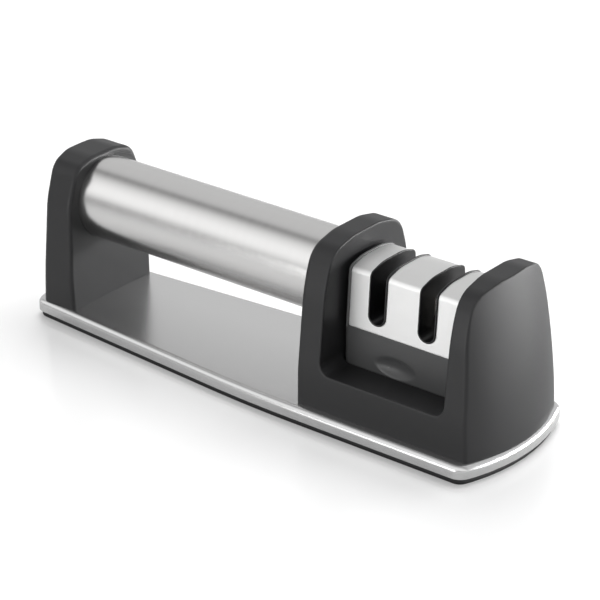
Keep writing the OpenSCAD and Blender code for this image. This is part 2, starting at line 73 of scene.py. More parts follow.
# Lower edge of the pad: the way in from its side, and the height
PAD_EDGE = [(0.4, 0), (0.15, 0.2), (0, 0.5), (0, PAD_T)]
PLATE_H = 4.5
PLATE_T = 0.8
PLATE_EDGE_R = 2.0
PLATE_LIP_R = 0.15
BASE_TOP = PAD_T + PLATE_H
BASE_LEN = 196.6
BASE_W = 57.4
BASE_REAR_W = 41.2
BASE_STRAIGHT = 18.1
BASE_BOW_R = 68.0
BASE_CORNER_R = 5.0
TAPER_R = 500.0

# Handle
TUBE_R = 14.5
TUBE_T = 0.8
TUBE_SEAT = 4.0
TUBE_EDGE_R = 0.15
GRIP_LEN = 102.2
AXIS_H = 36.4
AXIS_Z = BASE_TOP + AXIS_H

# Head. Its shares are of half the width and of the height, with the radius of each corner.
HEAD_W = 50.4
HEAD_H = 55.3
HEAD_LEN = 72.6
HEAD_LEDGE = 0.9
HEAD_X = BASE_LEN / 2 - HEAD_LEDGE - HEAD_LEN
HEAD_END_X = HEAD_X + HEAD_LEN
HEAD_EDGE_R = 1.6
HEAD_BOW_R = 56.0
HEAD_RISE_R = 336.0
HEAD_LEAN = math.radians(2.15)
HEAD_SHARES = [(1, 0, 0), (1, 0.21, 80), (0.88, 0.74, 55), (0.714, 0.954, 9.5), (0.27, 1, 20)]
# Radius of the edge of the bowed end at some heights
END_EDGE_HEIGHTS = [0, 36, 48]
END_EDGE_RADII = [1.0, 0.8, 0.35]
TUBE_CHEEK = 9.2
WINDOW_LEN = 48.4
WINDOW_R = 4.0
WINDOW_EDGE_R = 0.5
SILL_H = 12.8
SILL_Z = BASE_TOP + SILL_H
WELL_DEPTH = 7.6
WELL_PLAY = 0.3
WELL_CORNER_R = 1.2
WELL_EDGE_R = 0.3

# Post
POST_W = 40.4
POST_H = 52.7
POST_LEN = 17.7
POST_X = HEAD_X - GRIP_LEN
POST_EDGE_R = 1.3
POST_BOW_R = 56.0
POST_BOW_LEAN = math.radians(3.2)
POST_LEAN = math.radians(2)
POST_SHARES = [(1, 0, 0), (1.015, 0.24, 80), (0.935, 0.728, 20), (0.703, 0.959, 7), (0.3, 1, 14)]
TUBE_X = POST_X - AXIS_H * math.tan(POST_LEAN) - TUBE_SEAT
TUBE_END_X = HEAD_X + TUBE_SEAT

# Cartridge, in heights above the sill
CART_X = HEAD_X + TUBE_CHEEK + WINDOW_LEN / 2
CARRIER_LEN = 47.8
CARRIER_D = 25.2
CARRIER_T = 2.0
CARRIER_R = 2.0
CARRIER_TOP_EDGE_R = 0.25
CARRIER_FOOT_EDGE_R = 0.6
CARRIER_ROOM_R = 0.3
COVER_LEN = 43.2
COVER_T = 0.7
COVER_HALF_D = 12.9
COVER_FOOT = 13.7
COVER_TOP = 35.4
COVER_LEAN = 1.4
COVER_SHOULDER = COVER_TOP - 1.8
COVER_CORNER_R = 0.8
COVER_EDGE_R = 0.12
CROWN_FLAT = 11.0
CROWN_R = 18.0
SHOULDER_R = 2.0
UPPER_INSET = COVER_T + FIT
RIM_PROUD = 0.4
RIM_EDGE_R = 0.35
END_RIM_W = 0.9
UPPER_LEN = COVER_LEN + 2 * (FIT + END_RIM_W)
THUMB_HALF_LEN = 7.8
THUMB_HALF_H = 3.4
THUMB_DEPTH = 1.4
THUMB_EDGE_R = 0.35
THUMB_Z = 3.8
THUMB_X = -3.2
SLOT_PITCH = 19.4
SLOT_SHIFT = 1.0
SLOT_W = 6.9
SLOT_FLOOR = 16.5
SLOT_LEFT, SLOT_RIGHT = (side * SLOT_PITCH / 2 - SLOT_SHIFT for side in (-1, 1))
GUIDE_T = 0.6
GUIDE_OUTER_EDGE_R = 0.28
GUIDE_INNER_EDGE_R = 0.2
# Depth and top of the gap in a guide for its abrasives
BLADE_WINDOW = (3.8, 28.65)
ROD_WINDOW = (8.5, 28.25)

# How finely things are made: points of a rounded corner, of a corner of the base, of its bows
# and of its rolled edge, and sides and lengths of the tube
CORNER_STEPS = 14
RING_STEPS = 10
BOW_STEPS = 10
ROLL_STEPS = 12
TUBE_SIDES = 192
TUBE_STEPS = 12
# Cell of a table of distances, and its margin round the outline
TABLE_STEP = 0.2
TABLE_MARGIN = 4.0
# Contours: steps that close in on a surface, the least share of a cell's edge that one takes,
# the pull of a vertex to the middle of its crossings, the reach over which a slope is measured
# at a crossing and at a vertex, and how near the skin a vertex counts as being on it
ROOT_STEPS = 6
LEAST_SHARE = 0.05
CENTRE_PULL = 0.06
SLOPE_REACH = 0.02
NORMAL_REACH = 0.12
SKIN_REACH = 0.1


# Outlines: closed paths of corners (x, y, radius), anticlockwise

def unit(v):
    return v / np.linalg.norm(v)


def corners(path):
    """Each corner of a path with its neighbours: (before, at, after, radius, turn)."""
    n = len(path)
    for i in range(n):
        p, q, s = (np.array(path[(i + k) % n][:2], float) for k in (-1, 0, 1))
        a, b = q - p, s - q
        yield p, q, s, path[i][2], np.sign(a[0] * b[1] - a[1] * b[0])


def rounded(path, steps=CORNER_STEPS):
    """The points of a path with its corners rounded."""
    points = []
    for p, q, s, r, turn in corners(path):
        if r == 0:
            points.append(q)
            continue
        u, v = unit(p - q), unit(s - q)
        half = math.acos(float(u @ v)) / 2
        c = q + unit(u + v) * r / math.sin(half)
        t = q + u * r / math.tan(half) - c
        start = math.atan2(t[1], t[0])
        sweep = turn * (math.pi - 2 * half)
        for k in range(steps + 1):
            a = start + sweep * k / steps
            points.append(c + r * np.array([math.cos(a), math.sin(a)]))
    return np.array(points)


def grown(path, d):
    """The path with every side moved out by d."""
    moved = []
    for p, q, s, r, turn in corners(path):
        e, f = unit(q - p), unit(s - q)
        a, b = np.array([e[1], -e[0]]), np.array([f[1], -f[0]])
        m = q + d * (a + b) / (1 + a @ b)
        moved.append((m[0], m[1], 0 if r == 0 else max(r + turn * d, FIT)))
    return moved


def both_sides(half):
    return list(half) + [(-x, y, r) for x, y, r in reversed(half)]


def side_outline(shares, w, h):
    """A housing seen along the handle, running on below its foot."""
    return both_sides([(x * w / 2, y * h if y else -FOOT_OVER, r) for x, y, r in shares])


def cover_outline(drop=0):
    """The cover seen along the handle, its sides run on down by drop."""
    lean = COVER_LEAN * drop / (COVER_SHOULDER - COVER_FOOT)
    return both_sides([
        (COVER_HALF_D + lean, COVER_FOOT - drop, 0),
        (COVER_HALF_D - COVER_LEAN, COVER_SHOULDER, SHOULDER_R),
        (CROWN_FLAT / 2, COVER_TOP, CROWN_R)])


def bow(x, half_w, at):
    """Points inside a bowed end, about the centre x and the angle at."""
    spread = math.asin(half_w / BASE_BOW_R)
    angles = [at + spread * (2 * k / BOW_STEPS - 1) for k in range(1, BOW_STEPS)]
    return [(x + BASE_BOW_R * math.cos(a), BASE_BOW_R * math.sin(a), 0) for a in angles]


def base_outline():
    """The base seen from above."""
    centre = BASE_LEN / 2 - BASE_BOW_R
    head_half, rear_half = BASE_W / 2, BASE_REAR_W / 2
    head_corner = centre + math.sqrt(BASE_BOW_R ** 2 - head_half ** 2)
    rear_corner = -centre - math.sqrt(BASE_BOW_R ** 2 - rear_half ** 2)
    taper_x = HEAD_X - BASE_STRAIGHT
    return ([(head_corner, -head_half, BASE_CORNER_R)]
            + bow(centre, head_half, 0)
            + [(head_corner, head_half, BASE_CORNER_R), (taper_x, head_half, TAPER_R),
               (rear_corner, rear_half, BASE_CORNER_R)]
            + bow(-centre, rear_half, math.pi)
            + [(rear_corner, -rear_half, BASE_CORNER_R), (taper_x, -head_half, TAPER_R)])


# Signed distances

class Flat:
    """Signed distance to a closed outline in a plane, looked up in a fine table."""

    def __init__(self, path):
        points = rounded(path)
        self.low = points.min(0) - TABLE_MARGIN
        size = np.ceil((points.max(0) + TABLE_MARGIN - self.low) / TABLE_STEP).astype(int) + 1
        u = self.low[0] + TABLE_STEP * np.arange(size[0])[:, None]
        v = self.low[1] + TABLE_STEP * np.arange(size[1])[None, :]
        best = np.full(size, np.inf)
        inside = np.zeros(size, bool)
        for a, b in zip(points, np.roll(points, -1, 0)):
            d = b - a
            length2 = float(d @ d)
            if length2 < TINY:
                continue
            t = np.clip(((u - a[0]) * d[0] + (v - a[1]) * d[1]) / length2, 0, 1)
            best = np.minimum(best, (u - a[0] - t * d[0]) ** 2 + (v - a[1] - t * d[1]) ** 2)
            if a[1] != b[1]:
                beside = (a[1] > v) != (b[1] > v)
                inside ^= beside & (u < a[0] + (v - a[1]) * d[0] / d[1])
        self.table = np.sqrt(best) * np.where(inside, -1, 1)

    def __call__(self, u, v):
        last = np.array(self.table.shape) - 1 - TINY
        a = np.clip((u - self.low[0]) / TABLE_STEP, 0, last[0])
        b = np.clip((v - self.low[1]) / TABLE_STEP, 0, last[1])
        i, j = a.astype(int), b.astype(int)
        a, b = a - i, b - j
        t = self.table
        return ((t[i, j] * (1 - a) + t[i + 1, j] * a) * (1 - b)
                + (t[i, j + 1] * (1 - a) + t[i + 1, j + 1] * a) * b)


def meet(a, b, r):
    """What is inside both a and b, the edge between them rounded to radius r."""
    return np.minimum(np.maximum(a, b), -r) + np.hypot(np.maximum(a + r, 0), np.maximum(b + r, 0))


def rect(u, v, half_u, half_v, r):
    """A rectangle about the origin with corners of radius r."""
    a, b = np.abs(u) - (half_u - r), np.abs(v) - (half_v - r)
    return np.hypot(np.maximum(a, 0), np.maximum(b, 0)) + np.minimum(np.maximum(a, b), 0) - r


# Contours. A grid has three rows, for X, Y and Z: where its lines start, and runs of (end, step),
# with short steps at rounded edges and long ones across flats.

def across(side, edge, fine, coarse):
    """The row of a grid that is alike on both sides of the middle plane."""
    return -side, (-edge, fine), (edge, coarse), (side, fine)


def spaced(start, *runs):
    """The grid lines of a row: each run is divided evenly, by about its step."""
    lines = [start]
    for end, step in runs:
        count = max(1, round((end - lines[-1]) / step))
        lines += list(np.linspace(lines[-1], end, count + 1)[1:])
    return np.array(lines)


def gradient(field, p, reach):
    """The direction in which a field grows, at points."""
    g = np.empty_like(p)
    for k in range(3):
        d = np.zeros(3)
        d[k] = reach
        g[:, k] = field(*(p + d).T) - field(*(p - d).T)
    return g / np.maximum(np.linalg.norm(g, axis=1, keepdims=True), TINY)


def crossings(field, lines, value, axis):
    """Where the surface crosses the grid's edges along an axis, and the four cells round each."""
    inside = value < 0
    dims = np.array(value.shape) - 1
    near = [slice(None)] * 3
    far = [slice(None)] * 3
    near[axis], far[axis] = slice(0, -1), slice(1, None)
    edge = np.argwhere(inside[tuple(near)] != inside[tuple(far)])
    u, v = (axis + 1) % 3, (axis + 2) % 3
    edge = edge[(edge[:, u] > 0) & (edge[:, v] > 0)]
    edge = edge[(edge[:, u] < dims[u]) & (edge[:, v] < dims[v])]
    end = edge.copy()
    end[:, axis] += 1
    p0 = np.stack([lines[k][edge[:, k]] for k in range(3)], 1)
    p1 = np.stack([lines[k][end[:, k]] for k in range(3)], 1)
    f0, f1 = value[tuple(edge.T)], value[tuple(end.T)]
    for _ in range(ROOT_STEPS):
        t = np.clip(f0 / (f0 - f1), LEAST_SHARE, 1 - LEAST_SHARE)[:, None]
        middle = p0 + (p1 - p0) * t
        fm = field(*middle.T)
        same = (fm < 0) == (f0 < 0)
        p0, p1 = np.where(same[:, None], middle, p0), np.where(same[:, None], p1, middle)
        f0, f1 = np.where(same, fm, f0), np.where(same, f1, fm)
    spots = p0 + (p1 - p0) * (f0 / (f0 - f1))[:, None]
    around = []
    for du, dv in ((-1, -1), (0, -1), (0, 0), (-1, 0)):
        cell = edge.copy()
        cell[:, u] += du
        cell[:, v] += dv
        around.append(np.ravel_multi_index(tuple(cell.T), tuple(dims)))
    return spots, np.stack(around, 1), ~inside[tuple(edge.T)]


def contour(field, grid, skin=None):
    """Dual contour of a signed distance: vertices, quads and vertex normals.

    Where a skin is given, the vertices on it take its normals, so that cuts leave them as they are.
    """
    lines = [spaced(*row) for row in grid]
    value = field(*np.meshgrid(*lines, indexing="ij"))
    found = [crossings(field, lines, value, axis) for axis in range(3)]
    spots, cells, flips = (np.concatenate(part) for part in zip(*found))
    ids, quads = np.unique(cells, return_inverse=True)
    quads = quads.reshape(-1, 4)
    owner = quads.ravel()
    spot, slope = (np.repeat(x, 4, 0) for x in (spots, gradient(field, spots, SLOPE_REACH)))
    count = np.bincount(owner)
    middle = np.stack([np.bincount(owner, spot[:, k]) for k in range(3)], 1) / count[:, None]
    off = ((spot - middle[owner]) * slope).sum(1)
    left = np.eye(3) * CENTRE_PULL * count[:, None, None]
    right = np.empty((len(ids), 3, 1))
    for i in range(3):
        right[:, i, 0] = np.bincount(owner, slope[:, i] * off)
        for j in range(3):
            left[:, i, j] += np.bincount(owner, slope[:, i] * slope[:, j])
    vertices = middle + np.linalg.solve(left, right)[:, :, 0]
    corner = np.stack(np.unravel_index(ids, np.array(value.shape) - 1), 1)
    low, high = (np.stack([lines[k][corner[:, k] + more] for k in range(3)], 1) for more in (0, 1))
    vertices = np.clip(np.clip(vertices, low, high), *BOX_MM)
    quads[flips] = quads[flips][:, ::-1]
    normals = gradient(field, vertices, NORMAL_REACH)
    if skin:
        near = np.abs(skin(*vertices.T)) < SKIN_REACH
        normals[near] = gradient(skin, vertices[near], NORMAL_REACH)
    return vertices, quads.tolist(), normals


def piece(name, vertices, faces, normals, body, slot, replaced, material):
    """A mesh object from millimetres, which rides on a body and stands for CAD nodes."""
    mesh = bpy.data.meshes.new(name)
    mesh.from_pydata((np.asarray(vertices) * MM).tolist(), [], faces)
    mesh.validate()
    mesh.polygons.foreach_set("use_smooth", [True] * len(mesh.polygons))
    if normals is not None:
        mesh.normals_split_custom_set_from_vertices(np.asarray(normals).tolist())
    mesh.materials.append(material)
    obj = bpy.data.objects.new(name, mesh)
    bpy.context.scene.collection.objects.link(obj)
    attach(obj, body)
    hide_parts(*replaced)
    return obj


# Materials. Their grain is a noise, and its relief is in metres.

NOISE_DETAIL = 4.0
NOISE_ROUGHNESS = 0.6
RELIEF = 0.0001


def feed(tree, socket, value):
    """Link an output to a socket, or set the socket to a constant."""
    if isinstance(value, bpy.types.NodeSocket):
        tree.links.new(value, socket)
    else:
        socket.default_value = value


def worked_out(tree, operation, a, b):
    """The result of a math operation on two values."""
    node = tree.nodes.new("ShaderNodeMath")
    node.operation = operation
    feed(tree, node.inputs[0], a)
    feed(tree, node.inputs[1], b)
    return node.outputs[0]


def mapped(tree, value, limits, levels):
    """A value that runs between the limits, turned into one between the levels."""
    node = tree.nodes.new("ShaderNodeMapRange")
    for key, number in zip(("From Min", "From Max", "To Min", "To Max"), (*limits, *levels)):
        node.inputs[key].default_value = number
    feed(tree, node.inputs["Value"], value)
    return node.outputs["Result"]


def blended(tree, share, first, second):
    """Two colours, mixed by a share of the second."""
    node = tree.nodes.new("ShaderNodeMix")
    node.data_type = "RGBA"
    colours = [s for s in node.inputs if s.type == "RGBA"]
    feed(tree, node.inputs[0], share)
    feed(tree, colours[0], first)
    feed(tree, colours[1], second)
    return next(s for s in node.outputs if s.type == "RGBA")


def surface(name, colour, rough, metallic=0.0, grain=(1, 1, 1), scale=900.0, vary=0.06,
            bump=0.05, tint=0.06, **sockets):
    """A procedural material: fine grain moves its colour, roughness and relief.

    grain stretches the noise along the axes; sockets are constants on the shader itself.
    """
    material = bpy.data.materials.new(name)
    material.use_nodes = True
    tree = material.node_tree
    shader = tree.nodes["Principled BSDF"]
    shader.inputs["Metallic"].default_value = metallic
    for key, value in sockets.items():
        shader.inputs[key.replace("_", " ")].default_value = value
    stretch = tree.nodes.new("ShaderNodeMapping")
    stretch.inputs["Scale"].default_value = grain
    feed(tree, stretch.inputs["Vector"], tree.nodes.new("ShaderNodeTexCoord").outputs["Object"])
    noise = tree.nodes.new("ShaderNodeTexNoise")
    noise.inputs["Scale"].default_value = scale
    noise.inputs["Detail"].default_value = NOISE_DETAIL
    noise.inputs["Roughness"].default_value = NOISE_ROUGHNESS
    feed(tree, noise.inputs["Vector"], stretch.outputs["Vector"])
    amount = noise.outputs["Fac"]
    levels = rough - vary, rough + vary
    feed(tree, shader.inputs["Roughness"], mapped(tree, amount, (0, 1), levels))
    dark, light = ([min(1, c * k) for c in colour] + [1] for k in (1 - tint, 1 + tint))
    feed(tree, shader.inputs["Base Color"], blended(tree, amount, dark, light))
    relief = tree.nodes.new("ShaderNodeBump")
    relief.inputs["Strength"].default_value = bump
    relief.inputs["Distance"].default_value = RELIEF
    feed(tree, relief.inputs["Height"], amount)
    feed(tree, shader.inputs["Normal"], relief.outputs["Normal"])
    return material


# Flat steel is brushed along X, and the tube round its axis
BRUSHED = dict(grain=(6, 160, 160), scale=30)
SOFT_TOUCH = surface("soft_touch", [0.018, 0.018, 0.019], 0.44, scale=2600, bump=0.1,
                     Specular_IOR_Level=0.4)
CARRIER = surface("carrier", [0.09, 0.091, 0.092], 0.4, scale=2600, bump=0.08)
GUIDE = surface("guide", [0.004, 0.004, 0.0045], 0.36, scale=2200, bump=0)
CORE = surface("core", [0.04, 0.04, 0.043], 0.5, scale=2000, bump=0.08)
RUBBER = surface("rubber", [0.012, 0.012, 0.013], 0.7, scale=3000, bump=0.2)
PLATE = surface("plate", [0.64, 0.64, 0.64], 0.24, 0.88, vary=0.04, bump=0.03, tint=0.03, **BRUSHED)
TUBE = surface("tube", [0.68, 0.675, 0.67], 0.22, 1.0, (60, 3, 3), 30, vary=0.05, bump=0.04,
               tint=0.05)
COVER = surface("cover", [0.84, 0.84, 0.835], 0.52, 1.0, vary=0.03, bump=0.02, tint=0.02, **BRUSHED)
SCREW = surface("screw", [0.5, 0.5, 0.51], 0.3, 1.0, scale=1800)
CARBIDE = surface("carbide_ground", [0.17, 0.175, 0.18], 0.3, 1.0, (160, 160, 6), 30)
CERAMIC = surface("ceramic_matt", [0.86, 0.84, 0.79], 0.6, scale=2400, bump=0.15, tint=0.03)


# Head

side_of_head = Flat(side_outline(HEAD_SHARES, HEAD_W, HEAD_H))


def head_skin(x, y, z):
    """The head as it shows, with the window cut through it."""
    h = z - BASE_TOP
    body = meet(side_of_head(y, h), HEAD_X - x, HEAD_EDGE_R)
    out = np.hypot(x - (HEAD_END_X - HEAD_BOW_R), y)
    end = np.hypot(out - HEAD_BOW_R + HEAD_RISE_R * math.cos(HEAD_LEAN),
                   h + HEAD_RISE_R * math.sin(HEAD_LEAN)) - HEAD_RISE_R
    body = meet(body, end, np.interp(h, END_EDGE_HEIGHTS, END_EDGE_RADII))
    window = rect(x - CART_X, h - SILL_H - HEAD_H, WINDOW_LEN / 2, HEAD_H, WINDOW_R)
    return meet(body, -window, WINDOW_EDGE_R)


def head(x, y, z):
    h = z - BASE_TOP
    well = np.maximum(rect(x - CART_X, y, WINDOW_LEN / 2, CARRIER_D / 2 + WELL_PLAY, WELL_CORNER_R),
                      SILL_H - WELL_DEPTH - h)
    body = meet(np.maximum(head_skin(x, y, z), -h), -well, WELL_EDGE_R)
    seat = np.maximum(np.hypot(y, h - AXIS_H) - TUBE_R - FIT, x - TUBE_END_X)
    return np.maximum(body, -seat)


window_left, window_right = CART_X - WINDOW_LEN / 2, CART_X + WINDOW_LEN / 2
HEAD_GRID = (
    (HEAD_X - 0.7, (HEAD_X + 2.5, 0.4), (window_left - 1.5, 0.9), (window_left + 1.9, 0.35),
     (window_right - 1.9, 1.6), (window_right + 1.5, 0.35), (HEAD_END_X + 0.9, 0.5)),
    across(HEAD_W / 2 + 1, CARRIER_D / 2 - 1.6, 0.5, 0.9),
    (BASE_TOP - 0.5, (BASE_TOP + 1.2, 0.4), (BASE_TOP + 4.2, 0.8), (SILL_Z + 1.9, 0.45),
     (BASE_TOP + HEAD_H + 0.7, 0.5)))
piece("housing_of_head", *contour(head, HEAD_GRID, head_skin),
      "frame", "soft_touch_plastic", ["head_housing"], SOFT_TOUCH)

# Post

side_of_post = Flat(side_outline(POST_SHARES, POST_W, POST_H))


def post_skin(x, y, z):
    """The post as it shows."""
    h = z - BASE_TOP
    along = x - POST_X
    face = along * math.cos(POST_LEAN) + h * math.sin(POST_LEAN)
    body = meet(side_of_post(y, h), face, POST_EDGE_R)
    off = (along - POST_BOW_R + POST_LEN) * math.cos(POST_BOW_LEAN) - h * math.sin(POST_BOW_LEAN)
    return meet(body, np.hypot(off, y) - POST_BOW_R, POST_EDGE_R)


def post(x, y, z):
    h = z - BASE_TOP
    seat = np.maximum(np.hypot(y, h - AXIS_H) - TUBE_R - FIT, TUBE_X - x)
    return np.maximum(np.maximum(post_skin(x, y, z), -h), -seat)


POST_GRID = (
    (POST_X - POST_LEN - 1, (POST_X + 0.9, 0.45)),
    (-POST_W / 2 - 1.2, (POST_W / 2 + 1.2, 0.5)),
    (BASE_TOP - 0.5, (BASE_TOP + 1.2, 0.4), (BASE_TOP + POST_H + 0.5, 0.5)))
piece("housing_of_post", *contour(post, POST_GRID, post_skin),
      "frame", "soft_touch_plastic", ["rear_post"], SOFT_TOUCH)

# Cartridge: ends of the carrier, middles of the slots, and heights

carrier_left, carrier_right = CART_X - CARRIER_LEN / 2, CART_X + CARRIER_LEN / 2
left_x, right_x = CART_X + SLOT_LEFT, CART_X + SLOT_RIGHT
foot_z, floor_z, shoulder_z, top_z = (
    SILL_Z + h for h in (COVER_FOOT, SLOT_FLOOR, COVER_SHOULDER, COVER_TOP))
# Outlines seen along the handle, of the cover's outside and inside, the rims, the carrier's
# upper part and the room in that
outer = Flat(cover_outline())
under = Flat(grown(cover_outline(OVER), -COVER_T))
rim_line = Flat(grown(cover_outline(), RIM_PROUD))
block_line = Flat(grown(cover_outline(UPPER_INSET + OVER), -UPPER_INSET))
room_line = Flat(grown(cover_outline(COVER_FOOT), -UPPER_INSET - CARRIER_T))


def slot_face(x, h, half, floor):
    """A slot seen from the front, open at the top."""
    centre = floor + half
    return np.where(h > centre, np.abs(x) - half, np.hypot(x, h - centre) - half)


def slot_rooms(x, h):
    """The rooms of both slot guides."""
    return np.minimum(*(slot_face(x - at, h, SLOT_W / 2 + FIT, SLOT_FLOOR - FIT)
                        for at in (SLOT_LEFT, SLOT_RIGHT)))


def thumb(x, y, h):
    """The two thumb hollows, each a spindle along X."""
    total = THUMB_HALF_H ** 2 / THUMB_DEPTH
    mid_r = (total + THUMB_DEPTH) / 2
    sweep_r = (THUMB_HALF_LEN ** 2 + THUMB_DEPTH ** 2) / (2 * THUMB_DEPTH)
    off = np.abs(y) - CARRIER_D / 2 - (total - THUMB_DEPTH) / 2
    reach = np.hypot(off, h - THUMB_Z) - mid_r + sweep_r
    return np.hypot(reach, x - THUMB_X) - sweep_r


def carrier(x, y, z):
    x, h = x - CART_X, z - SILL_Z
    lower = rect(x, y, CARRIER_LEN / 2, CARRIER_D / 2, CARRIER_R)
    lower = meet(lower, h - COVER_FOOT, CARRIER_TOP_EDGE_R)
    lower = meet(lower, -h - WELL_DEPTH, CARRIER_FOOT_EDGE_R)
    upper = np.maximum(block_line(y, h), np.abs(x) - UPPER_LEN / 2)
    band = np.abs(np.abs(x) - (UPPER_LEN - END_RIM_W) / 2) - END_RIM_W / 2
    rims = meet(rim_line(y, h), band, RIM_EDGE_R)
    body = np.minimum(np.minimum(lower, upper), rims)
    half_len, half_d = CARRIER_LEN / 2 - CARRIER_T, CARRIER_D / 2 - CARRIER_T
    room = np.maximum(rect(x, y, half_len, half_d, CARRIER_ROOM_R), h - COVER_FOOT + CARRIER_T)
    attic = np.maximum(room_line(y, h), np.abs(x) - UPPER_LEN / 2 + CARRIER_T)
    body = meet(body, -thumb(x, y, h), THUMB_EDGE_R)
    body = np.maximum(body, -np.minimum(room, attic))
    return np.maximum(body, -slot_rooms(x, h))


CARRIER_GRID = (
    (carrier_left - 0.4, (carrier_left + 2.9, 0.25), (left_x - 3.9, 0.6), (left_x + 3.9, 0.5),
     (right_x - 3.9, 0.6), (right_x + 3.9, 0.5), (carrier_right - 2.9, 0.6),
     (carrier_right + 0.4, 0.25)),
    across(COVER_HALF_D + 0.8, COVER_HALF_D - 2.9, 0.3, 0.8),
    (SILL_Z - WELL_DEPTH - 0.4, (SILL_Z - WELL_DEPTH + 0.6, 0.3), (SILL_Z, 0.8),
     (foot_z - 1.1, 0.39), (foot_z + 0.5, 0.2), (shoulder_z - 1.6, 0.6), (top_z + 0.8, 0.3)))
piece("carrier_block", *contour(carrier, CARRIER_GRID),
      "cartridge", "carrier_plastic", ["cartridge_carrier"], CARRIER)


def cover(x, y, z):
    x, h = x - CART_X, z - SILL_Z
    face = meet(np.abs(x) - COVER_LEN / 2, COVER_FOOT - h, COVER_CORNER_R)
    skin = meet(outer(y, h), face, COVER_EDGE_R)
    skin = np.maximum(skin, -under(y, h))
    return meet(skin, -slot_rooms(x, h), COVER_EDGE_R)


COVER_GRID = (
    (CART_X - 22, (CART_X - 20.4, 0.2), (left_x - 4.2, 0.8), (left_x + 4.2, 0.25),
     (right_x - 4.2, 0.9), (right_x + 4.2, 0.25), (CART_X + 20.4, 0.8), (CART_X + 22, 0.2)),
    across(COVER_HALF_D + 0.3, COVER_HALF_D - 2.5, 0.2, 0.7),
    (foot_z - 0.4, (foot_z + 1.3, 0.21), (floor_z - 0.5, 0.5), (floor_z + 4, 0.25),
     (shoulder_z - 2.1, 0.7), (top_z + 0.4, 0.205)))
piece("cover_skin", *contour(cover, COVER_GRID),
      "cartridge", "cover_steel", ["cartridge_cover"], COVER)


def guide(middle, window):
    """The lining of the slot at middle, open for abrasives in a window."""
    deep, top = window

    def field(x, y, z):
        x, h = x - middle, z - SILL_Z
        hollow = slot_face(x, h, SLOT_W / 2 - GUIDE_T, SLOT_FLOOR + GUIDE_T)
        wall = meet(slot_face(x, h, SLOT_W / 2, SLOT_FLOOR), rim_line(y, h), GUIDE_OUTER_EDGE_R)
        wall = meet(wall, -hollow, GUIDE_INNER_EDGE_R)
        return np.maximum(wall, -np.maximum(np.abs(y) - deep / 2, h - top))

    return field


for name, node, middle, window in (
        ("coarse_guide_lining", "coarse_slot_guide", left_x, BLADE_WINDOW),
        ("fine_guide_lining", "fine_slot_guide", right_x, ROD_WINDOW)):
    guide_grid = (
        (middle - SLOT_W / 2 - 0.25, (middle + SLOT_W / 2 + 0.25, 0.2)),
        across(COVER_HALF_D + 0.8, COVER_HALF_D - 2.7, 0.19, 0.82),
        (floor_z - 0.4, (floor_z + 4.1, 0.22), (shoulder_z - 1.6, 0.7), (top_z + 0.8, 0.2)))
    piece(name, *contour(guide(middle, window), guide_grid),
          "cartridge", "guide_plastic", [node], GUIDE)


# Base

def ring(path, d, z):
    """The path grown by d, at the height z."""
    points = rounded(grown(path, d), RING_STEPS)
    return np.column_stack([points, np.full(len(points), z)])


def ring_normals(path):
    """Outward directions in plan at the points of a ring."""
    points = rounded(path, RING_STEPS)
    along = np.roll(points, -1, 0) - np.roll(points, 1, 0)
    along /= np.linalg.norm(along, axis=1, keepdims=True)
    return np.column_stack([along[:, 1], -along[:, 0]])


def lofted(rings):
    """Faces between rings of as many points each, and the faces that close the last and first."""
    n = len(rings[0])
    last = (len(rings) - 1) * n
    sides = [(j * n + i, j * n + (i + 1) % n, (j + 1) * n + (i + 1) % n, (j + 1) * n + i)
             for j in range(len(rings) - 1) for i in range(n)]
    return sides + [[last + i for i in range(n)], [n - 1 - i for i in range(n)]]


plan = base_outline()
plan_out = ring_normals(plan)


def tilt(a):
    """Normals round a ring, leaning up by a."""
    return np.column_stack([plan_out * math.cos(a), np.full(len(plan_out), math.sin(a))])


def pan_rings(d):
    """Rings up the side of the pan and over its rolled edge, and their normals."""
    r = PLATE_EDGE_R + d
    roll_z = BASE_TOP - PLATE_EDGE_R
    rings, tilts = [ring(plan, d, PAD_T + PLATE_LIP_R), ring(plan, d, roll_z)], [tilt(0), tilt(0)]
    for k in range(1, ROLL_STEPS + 1):
        a = math.pi / 2 * k / ROLL_STEPS
        rings.append(ring(plan, d - r * (1 - math.cos(a)), roll_z + r * math.sin(a)))
        tilts.append(tilt(a))
    return rings, tilts


outside, outside_tilts = pan_rings(0)
inside, inside_tilts = pan_rings(-PLATE_T)
lip = [ring(plan, -PLATE_T + PLATE_LIP_R, PAD_T), ring(plan, -PLATE_LIP_R, PAD_T)]
down = np.tile([0.0, 0.0, -1.0], (len(plan_out), 1))
rings = inside[::-1] + lip + outside
normals = np.concatenate([-t for t in inside_tilts[::-1]] + [down, down] + outside_tilts)
piece("pan_of_base", np.concatenate(rings), lofted(rings), normals,
      "frame", "plate_steel", ["base_plate"], PLATE)

rings = [ring(plan, -PAD_INSET - inset, z) for inset, z in PAD_EDGE]
pad = piece("sheet_of_pad", np.concatenate(rings), lofted(rings), None,
            "frame", "pad_rubber", ["base_pad"], RUBBER)
for polygon in pad.data.polygons[-2:]:
    polygon.use_smooth = False

# Tube, turned from a profile of (x, radius, share of the normal along X, share of it outward)

